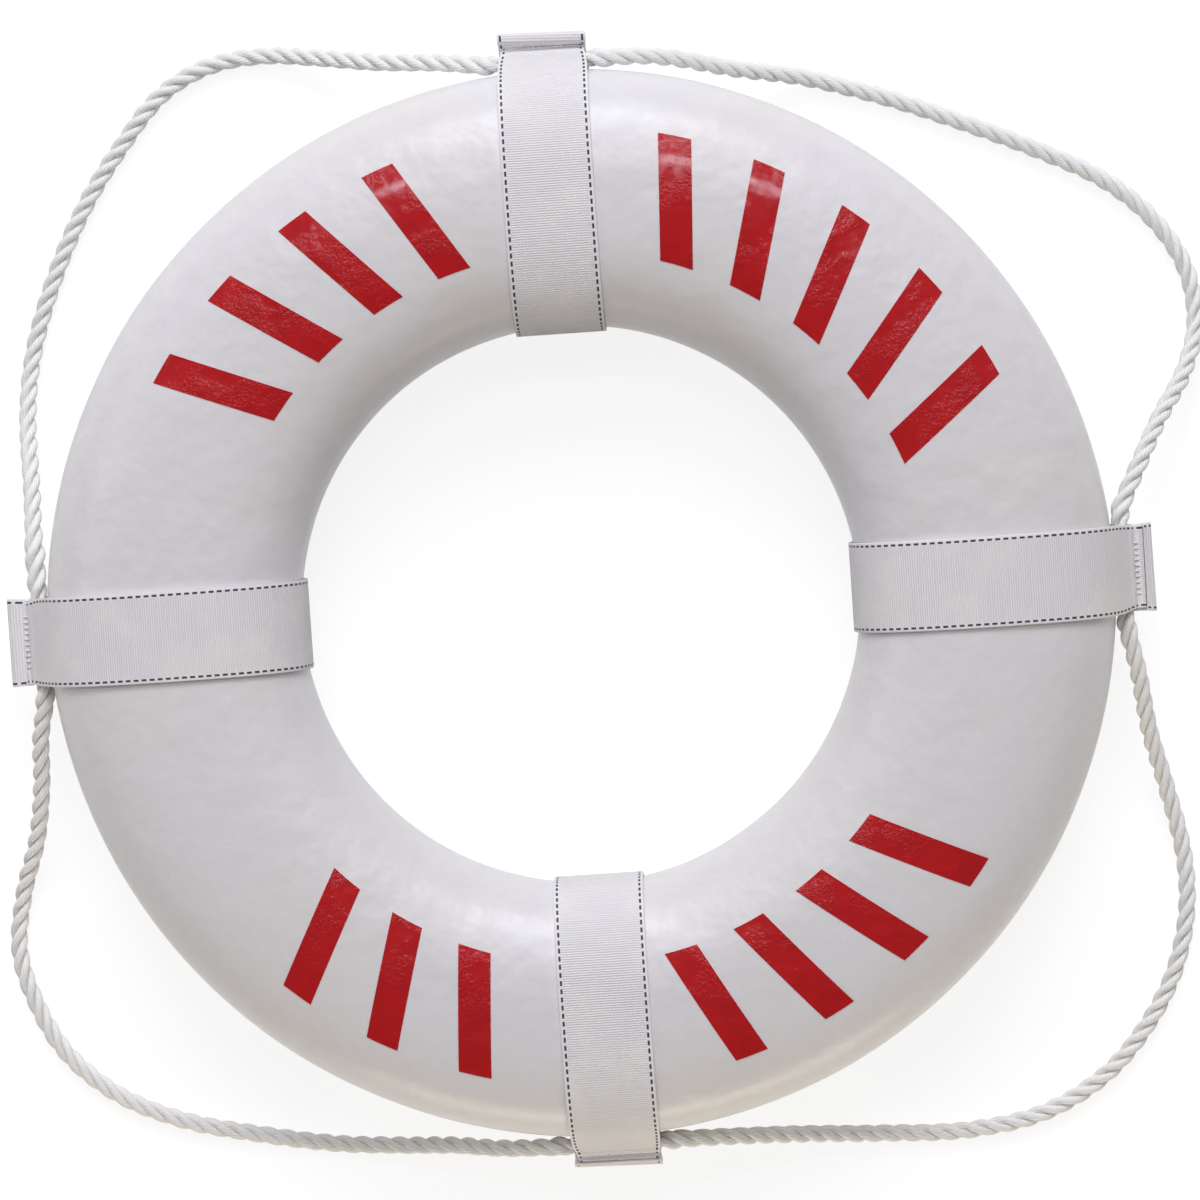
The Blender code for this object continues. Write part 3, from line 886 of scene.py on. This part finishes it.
def rope_mesh(name, line, swellings):
    """Three strands laid right-handed round a line, as one closed skin."""
    size = sizes()
    lobe = lobe_outline()
    outline = []
    for strand in range(3):
        shift = strand * math.tau / 3
        outline += [(angle + shift, radius, depth) for angle, radius, depth in lobe]
    count = len(outline)
    shape = bmesh.new()
    groove = shape.verts.layers.float.new("groove")
    lay = shape.loops.layers.uv.new("lay")
    tangent = (line[1] - line[0]).normalized()
    side = tangent.orthogonal().normalized()
    rings = []
    for step, (point, reach) in enumerate(zip(line, reach_along(line))):
        before = line[max(step - 1, 0)]
        after = line[min(step + 1, len(line) - 1)]
        ahead = (after - before).normalized()
        side = (side - ahead * side.dot(ahead)).normalized()
        other = ahead.cross(side)
        twist = math.tau * reach / size.rope_lay
        radius = size.rope_diameter / 2 * swellings[step]
        ring = []
        for angle, share, depth in outline:
            turn = angle + twist
            spoke = side * math.cos(turn) + other * math.sin(turn)
            corner = shape.verts.new(point + spoke * (radius * share))
            corner[groove] = depth
            ring.append(corner)
        rings.append((ring, reach, twist))
    for (near, near_reach, near_twist), (far, far_reach, far_twist) in zip(rings, rings[1:]):
        for spot in range(count):
            after = (spot + 1) % count
            face = shape.faces.new((near[spot], near[after], far[after], far[spot]))
            angle = outline[spot][0]
            next_angle = outline[after][0] + (math.tau if after == 0 else 0.0)
            marks = (
                (near_reach, near_twist + angle), (near_reach, near_twist + next_angle),
                (far_reach, far_twist + next_angle), (far_reach, far_twist + angle))
            for loop, mark in zip(face.loops, marks):
                loop[lay].uv = mark
    for ring, point, turned in ((rings[0][0], line[0], True), (rings[-1][0], line[-1], False)):
        middle = shape.verts.new(point)
        for spot in range(count):
            pair = (ring[spot], ring[(spot + 1) % count])
            corners = (pair[1], pair[0], middle) if turned else (pair[0], pair[1], middle)
            shape.faces.new(corners)
    shape.normal_update()
    mesh = bpy.data.meshes.new(name)
    shape.to_mesh(mesh)
    shape.free()
    made = bpy.data.objects.new(name, mesh)
    bpy.context.scene.collection.objects.link(made)
    return made


def make_bight(name, leaves, reaches, points):
    """One piece of the grab line, which lifts from the straps that hold it."""
    route, chord_middle = bight_route(leaves, reaches, points)
    line = even_points(route, ROPE_STEP)
    size = sizes()
    distances = reach_along(line)
    total = distances[-1]
    swellings = []
    for reach in distances:
        from_strap = min(reach, total - reach) - size.webbing_width / 2
        freed = min(max(from_strap / FREEING_REACH, 0.0), 1.0)
        bulge = BULGE_GROWTH * math.exp(-((from_strap - BULGE_OFFSET) / BULGE_REACH) ** 2)
        swelling = 1.0 + freed * (LOOSENESS + bulge)
        if name == "upper_left":
            away = (reach - TUCK_AT) / TUCK_REACH
            swelling += TUCK_GROWTH * math.exp(-away * away * 2.0)
        swellings.append(swelling)
    made = rope_mesh("rope_" + name, line, swellings)
    smooth(made, 75.0)
    name_piece(made, "rope_" + name, "white_rope", body=None)
    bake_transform(made)
    held = {"upper_left": "left", "upper_right": "top", "lower_right": "right", "lower_left": "bottom"}
    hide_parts("grab_line_" + name, "grab_line_in_strap_" + held[name])
    exit_point = strap_direction(leaves) * rope_seat() + Vector((0.0, 0.0, middle_height()))
    exit_point += strap_direction(reaches) * (size.webbing_width / 2)
    return made


class LIFERING_OT_grab_line(Operator):
    """Lay the grab line: four lengths of three-strand rope from strap to strap"""

    bl_idname = "life_ring.grab_line"
    bl_label = "Grab line"

    def execute(self, context):
        deselect_all()
        for name, leaves, reaches, points in BIGHTS:
            make_bight(name, leaves, reaches, points)
        return {"FINISHED"}


# Foam and cover

class LIFERING_OT_foam(Operator):
    """Give the two slabs of the foam core their finish"""

    bl_idname = "life_ring.foam"
    bl_label = "Foam core"

    def execute(self, context):
        for name in ("foam_core_upper", "foam_core_lower"):
            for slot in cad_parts[name].material_slots:
                slot.material = finish("foam")
        return {"FINISHED"}


SEAM_BEVEL = 0.0005
SEAM_GAP = 0.00002           # each half of the skin stops short of mid-thickness by this
MERGE = 0.00001


def make_cover_half(name, side):
    """One half of the skin: a section spun round the ring's axis, cut at mid-thickness and given
    its wall. side is 1 for the upper half and -1 for the lower."""
    deselect_all()
    bpy.ops.mesh.primitive_circle_add(
        vertices=SECTION_STEPS, radius=half_width(), fill_type="NOTHING")
    made = bpy.context.object
    for corner in made.data.vertices:
        turn = math.atan2(corner.co.y, corner.co.x)
        across, up = section_point(half_width(), sizes().thickness / 2, turn)
        corner.co = (middle_radius() + across, 0.0, up)
    edit_all(made)
    bpy.ops.mesh.spin(
        steps=RING_STEPS, angle=math.tau, center=(0.0, 0.0, 0.0), axis=(0.0, 0.0, 1.0))
    bpy.ops.mesh.select_all(action="SELECT")
    bpy.ops.mesh.remove_doubles(threshold=MERGE)
    bpy.ops.mesh.select_all(action="SELECT")
    bpy.ops.mesh.bisect(
        plane_co=(0.0, 0.0, 0.0), plane_no=(0.0, 0.0, 1.0),
        clear_inner=side > 0, clear_outer=side < 0, threshold=MERGE)
    bpy.ops.mesh.select_all(action="SELECT")
    bpy.ops.mesh.normals_make_consistent(inside=False)
    bpy.ops.object.mode_set(mode="OBJECT")
    for corner in made.data.vertices:
        turn = math.atan2(corner.co.y, corner.co.x)
        across = math.hypot(corner.co.x, corner.co.y) - middle_radius()
        up = corner.co.z
        corner.co = cover_point(across, up, turn)
        if abs(up) < MERGE:
            corner.co.z = middle_height() + SEAM_GAP * side
    outward_area = sum(
        face.area * face.normal.z * side for face in made.data.polygons)
    if outward_area < 0.0:
        made.data.flip_normals()
    add_wall(made, sizes().cover_wall)
    round_edges(made, SEAM_BEVEL)
    apply_modifiers(made)
    smooth(made)
    name_piece(made, "ring_" + name, "white_vinyl")
    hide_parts(name)
    return made


class LIFERING_OT_cover(Operator):
    """Spin the upper and lower half of the vinyl skin"""

    bl_idname = "life_ring.cover"
    bl_label = "Cover"

    def execute(self, context):
        make_cover_half("cover_upper", 1.0)
        make_cover_half("cover_lower", -1.0)
        return {"FINISHED"}


# Straps

def tab_sizes():
    """Half of the webbing's thickness, height of the middle of a tab's upper layer, radius of the
    webbing's middle round the rope, and distance from the rope's middle to the tab's start."""
    layer = sizes().webbing_thickness / 2
    half = layer + ROPE_HOLD / 2
    wrap = sizes().rope_diameter / 2 + ROPE_HOLD + layer
    return layer, half, wrap, math.sqrt(wrap ** 2 - half ** 2)


def strap_line(fullness):
    """Middle of a strap's webbing, from the hem's end, round the fold and the ring, to the flap's
    end, as section points; and how far along the line the two ends of the tab lie."""
    size = sizes()
    layer, half, wrap, tab_start = tab_sizes()
    seat = rope_seat() - middle_radius()
    tab = seat + tab_start
    crease = tab + FLAP_LENGTH
    end = crease + HEM_LENGTH
    roll = half + HEM_ROLL * fullness
    fold = end - layer - roll
    rise = HEM_RISE * fullness
    hem = [
        (crease + ROPE_HOLD, half), (crease + 0.0014, half + rise * 0.7),
        (crease + 0.0034, half + rise), (fold - 0.0004, roll + rise * 0.6)]
    for degrees in (60.0, 30.0, 0.0, -30.0, -60.0):
        turn = math.radians(degrees)
        hem.append((fold + roll * math.cos(turn), roll * math.sin(turn)))
    hem.append((fold - 0.0012, -half - 0.0001))
    hem.append((crease, -half))
    over = []
    for degrees in (60.0, 48.0, 36.0, 22.0):
        turn = math.radians(degrees)
        over.append((seat + wrap * math.cos(turn), wrap * math.sin(turn)))
    over.append((tab + 0.0006, half))
    over.append((tab + 0.0020, half))
    under = [(across, -up) for across, up in reversed(over)]
    ease = size.strap_ease + layer
    outward = half_width() + ease
    hole = size.hole_diameter / 2
    bridge = math.sqrt(hole ** 2 - (size.webbing_width / 2) ** 2)
    inward = middle_radius() - bridge + ease
    loop = []
    count = round((360.0 - 2 * STRAP_LEAVES_AT) / LOOP_STEP)
    for part in range(count + 1):
        turn = math.radians(360.0 - STRAP_LEAVES_AT - part * LOOP_STEP)
        across, up = section_point(outward, size.thickness / 2 + ease, turn)
        loop.append((across if across > 0 else across * inward / outward, up))
    flap = [(crease - ROPE_HOLD, half)]
    points = hem + under + loop + over + flap
    return [Vector((across, 0.0, up)) for across, up in points], tab, crease


def row_lengths(total):
    """Distances along the webbing at which it has a row of points: close together in the tab."""
    near = [TAB_ROW * step for step in range(round(TAB_PART / TAB_ROW))]
    between = total - 2 * TAB_PART
    middle_count = round(between / STRAP_ROW)
    middle = [TAB_PART + between * step / middle_count for step in range(middle_count)]
    return near + middle + [total - reach for reach in reversed(near)]


def turned_hem(across, up, hinge, degrees):
    """Place of a section point once the hem is turned about a line just outside the seam."""
    beyond = across - hinge
    if beyond <= 0.0:
        return across, up
    eased = min(beyond / HINGE_BEND, 1.0)
    turn = math.radians(degrees) * eased * eased * (3.0 - 2.0 * eased)
    out = beyond * math.cos(turn) - up * math.sin(turn)
    rise = beyond * math.sin(turn) + up * math.cos(turn)
    return hinge + out, rise


def make_strap(name, degrees):
    """One strap of webbing: a flat strip laid along its line, then given its thickness."""
    size = sizes()
    shifts, fullness, pinches, lifts = TAB_LOOKS[name]
    points, tab, crease = strap_line(fullness)
    line = curve_through(points, 10)
    total = reach_along(line)[-1]
    rows = row_lengths(total)
    spots = points_at(line, rows)
    deselect_all()
    bpy.ops.mesh.primitive_grid_add(
        x_subdivisions=STRAP_COLUMNS, y_subdivisions=len(rows) - 1, size=2.0)
    made = bpy.context.object
    mesh = made.data
    layer = mesh.uv_layers.active
    layer.name = "cloth"
    turned = Matrix.Rotation(math.radians(degrees), 3, "Z")
    middle = middle_radius()
    places = []
    for corner in mesh.vertices:
        side = corner.co.x
        row = round((corner.co.y + 1.0) / 2.0 * (len(rows) - 1))
        places.append((side, row))
        spot = spots[row]
        share = (side + 1.0) / 2.0
        gap_to_seam = spot.x - (tab + STITCH_SETBACK)
        pinch = pinches[0] if side < 0 else pinches[1]
        drawn = pinch * math.exp(-(gap_to_seam / PINCH_REACH) ** 2)
        if row < len(rows) / 2:
            drawn *= UNDER_PINCH
        across = spot.x
        if spot.z > 0.0 and across > tab + SHIFT_SETBACK:
            shift = shifts[0] + (shifts[1] - shifts[0]) * share
            across += shift * math.exp(-((across - crease) / SHIFT_REACH) ** 2)
        breadth = size.webbing_width / 2 - drawn
        ripple = RIPPLE * abs(noise.noise(Vector((side * 3.0, rows[row] * 60.0, degrees))))
        lift = lifts[0] + (lifts[1] - lifts[0]) * share
        across, up = turned_hem(across, spot.z + ripple, tab + HINGE_SETBACK, lift)
        place = turned @ Vector((middle + across, side * breadth, up))
        place.z += middle_height()
        corner.co = place
    for loop in mesh.loops:
        side, row = places[loop.vertex_index]
        layer.data[loop.index].uv = (side * size.webbing_width / 2, rows[row])
    add_wall(made, size.webbing_thickness, 0.0)
    round_edges(made, WEBBING_EDGE)
    apply_modifiers(made)
    smooth(made)
    name_piece(made, "webbing_" + name, "white_webbing")
    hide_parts("strap_" + name)
    return made


class LIFERING_OT_straps(Operator):
    """Wrap the four webbing straps round the ring and the grab line"""

    bl_idname = "life_ring.straps"
    bl_label = "Straps"

    def execute(self, context):
        for name, degrees in STRAPS:
            make_strap(name, degrees)
        return {"FINISHED"}


# Seams

def make_stitch():
    """One stitch: half of a ring of thread whose ends go down into the webbing."""
    size = sizes()
    deselect_all()
    bpy.ops.mesh.primitive_torus_add(
        major_radius=size.stitch_length / 2, minor_radius=size.thread_diameter / 2,
        major_segments=STITCH_STEPS, minor_segments=THREAD_SIDES)
    made = bpy.context.object
    edit_all(made)
    bpy.ops.mesh.bisect(
        plane_co=(0.0, 0.0, 0.0), plane_no=(0.0, 1.0, 0.0), clear_inner=True, use_fill=True)
    bpy.ops.mesh.select_all(action="SELECT")
    bpy.ops.transform.resize(value=(1.0, STITCH_FLATNESS, 1.0))
    bpy.ops.mesh.normals_make_consistent(inside=False)
    bpy.ops.object.mode_set(mode="OBJECT")
    # The half ring stands in the XY plane: tip it up so that it arches over the webbing
    made.data.transform(Matrix.Rotation(math.radians(90.0), 4, "X"))
    return made


def make_seam(name, degrees, side, stitch):
    """Ten stitches in a row across a tab; side is 1 for its upper face and -1 for its lower."""
    layer, half, _, tab_start = tab_sizes()
    tab = rope_seat() + tab_start
    face = "upper" if side > 0 else "lower"
    copies = []
    turned = Matrix.Rotation(math.radians(degrees), 4, "Z")
    for step in range(STITCHES):
        copy = bpy.data.objects.new("stitch", stitch.data.copy())
        bpy.context.scene.collection.objects.link(copy)
        along = (step - (STITCHES - 1) / 2) * STITCH_STEP
        drift = STITCH_DRIFT * noise.noise(Vector((step * 1.7, degrees, side)))
        seat = Vector((tab + STITCH_SETBACK + drift, along, side * (half + layer - STITCH_SUNK)))
        flip = Matrix.Rotation(math.pi, 4, "X") if side < 0 else Matrix.Identity(4)
        skewed = STITCH_SKEW * noise.noise(Vector((step, side, degrees)))
        skew = Matrix.Rotation(math.radians(skewed), 4, "Z")
        lift = Matrix.Translation((0.0, 0.0, middle_height()))
        copy.data.transform(turned @ lift @ Matrix.Translation(seat) @ skew @ flip)
        copies.append(copy)
    deselect_all()
    for copy in copies:
        copy.select_set(True)
    bpy.context.view_layer.objects.active = copies[0]
    bpy.ops.object.join()
    made = bpy.context.object
    smooth(made, 60.0)
    name_piece(made, f"seam_{face}_{name}", "white_thread")
    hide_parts(f"stitching_{face}_{name}")
    return made


class LIFERING_OT_seams(Operator):
    """Sew the tabs: a row of stitches on each face of each tab"""

    bl_idname = "life_ring.seams"
    bl_label = "Seams"

    def execute(self, context):
        stitch = make_stitch()
        for name, degrees in STRAPS:
            make_seam(name, degrees, 1.0, stitch)
            make_seam(name, degrees, -1.0, stitch)
        bpy.data.objects.remove(stitch)
        return {"FINISHED"}


# Marks

FILM_PROUD = 0.9             # share of the film's thickness that stands above the cover


def make_mark(name, turn):
    """One slanted bar of film that follows the cover."""
    size = sizes()
    deselect_all()
    bpy.ops.mesh.primitive_grid_add(
        x_subdivisions=MARK_ROWS, y_subdivisions=MARK_COLUMNS, size=1.0)
    made = bpy.context.object
    high = size.thickness / 2
    wide = half_width()
    for corner in made.data.vertices:
        share = corner.co.x
        side = corner.co.y
        radius = size.mark_radius + share * size.mark_length
        across = radius - middle_radius()
        up = high * (1.0 - abs(across / wide) ** size.squareness) ** (1.0 / size.squareness)
        angle = math.radians(turn) + (side * size.mark_width + share * size.mark_slant) / radius
        corner.co = cover_point(across, up, angle, lift=size.mark_thickness * FILM_PROUD)
    add_wall(made, size.mark_thickness)
    apply_modifiers(made)
    smooth(made)
    name_piece(made, "film_" + name, "red_vinyl")
    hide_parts("mark_" + name)
    return made


class LIFERING_OT_marks(Operator):
    """Stick the red marks on the upper face"""

    bl_idname = "life_ring.marks"
    bl_label = "Marks"

    def execute(self, context):
        for name, centre, count in MARK_ARCS:
            for step in range(count):
                turn = centre + (step - (count - 1) / 2) * MARK_STEP_DEGREES
                make_mark(f"{name}_{step + 1}", turn)
        return {"FINISHED"}


class LIFERING_PT_panel(Panel):
    """Lists the steps that build the life ring"""

    bl_idname = "LIFERING_PT_panel"
    bl_label = "Life Ring"
    bl_space_type = "VIEW_3D"
    bl_region_type = "UI"
    bl_category = "Life Ring"

    def draw(self, context):
        for operator in OPERATORS:
            self.layout.operator(operator.bl_idname)
        for group in (context.scene.life_ring_sizes, context.scene.life_ring_colours):
            box = self.layout.box()
            for name in group.bl_rna.properties.keys():
                if name not in ("name", "rna_type"):
                    box.prop(group, name)


OPERATORS = (
    LIFERING_OT_stage, LIFERING_OT_grab_line, LIFERING_OT_foam, LIFERING_OT_cover,
    LIFERING_OT_straps, LIFERING_OT_seams, LIFERING_OT_marks)
CLASSES = (LifeRingSizes, LifeRingColours, LIFERING_PT_panel) + OPERATORS


def register():
    """Register the classes, and give the scene the sizes and colours."""
    for kind in CLASSES:
        bpy.utils.register_class(kind)
    bpy.types.Scene.life_ring_sizes = PointerProperty(type=LifeRingSizes)
    bpy.types.Scene.life_ring_colours = PointerProperty(type=LifeRingColours)


def unregister():
    """Take back what register did."""
    del bpy.types.Scene.life_ring_colours
    del bpy.types.Scene.life_ring_sizes
    for kind in reversed(CLASSES):
        bpy.utils.unregister_class(kind)


def main():
    """Build everything."""
    register()
    bpy.ops.life_ring.stage()
    bpy.ops.life_ring.grab_line()
    bpy.ops.life_ring.foam()
    bpy.ops.life_ring.cover()
    bpy.ops.life_ring.straps()
    bpy.ops.life_ring.seams()
    bpy.ops.life_ring.marks()
    deselect_all()


if __name__ == "__main__":
    main()
